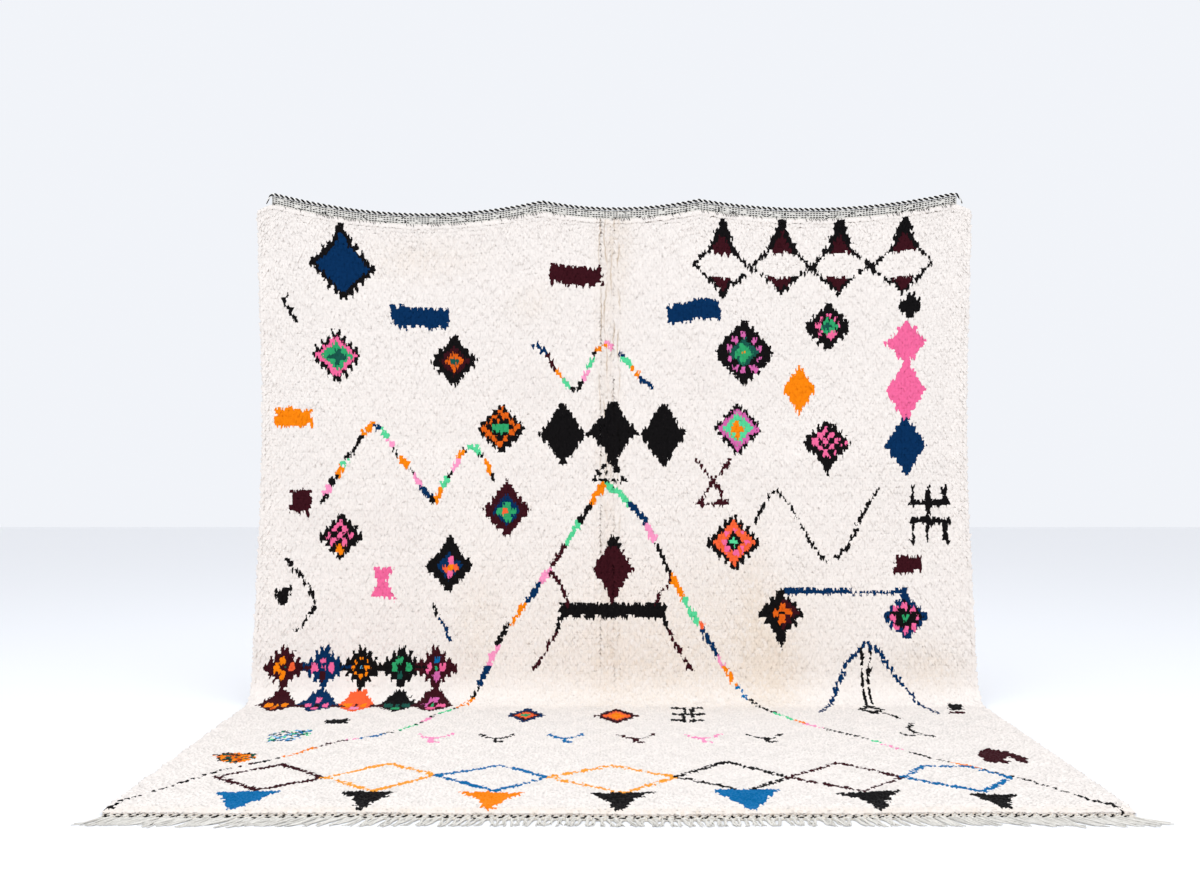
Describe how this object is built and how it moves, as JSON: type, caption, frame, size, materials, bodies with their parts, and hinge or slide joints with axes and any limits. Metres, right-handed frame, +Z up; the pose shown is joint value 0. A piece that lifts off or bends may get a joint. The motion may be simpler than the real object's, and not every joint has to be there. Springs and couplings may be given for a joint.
{
  "type": "azilal rug hung by its head",
  "caption": "Large hand-knotted shag wool rug, hung by its flat-woven head, sweeping onto the floor and lying flat to a fringed foot.",
  "frame": {"origin": "on the floor, under the middle of the bounding box", "axes": "+Z up; +X to the right of someone who faces the pile; the pile of the hung part faces -Y, and the rug runs out over the floor towards -Y"},
  "size_m": [3.2472, 2.0546, 2.1791],
  "materials": {
    "wool_pile": "matt long-haired wool",
    "flat_weave": "matt black and white flat weave",
    "twined_cord": "matt black and white twined yarn",
    "warp_fringe": "matt loose warp yarn"
  },
  "bodies": {
    "root": {"pile_field": "wool_pile", "kilim_header": "flat_weave", "header_cord": "twined_cord", "fringe": "warp_fringe"}
  },
  "joints": []
}
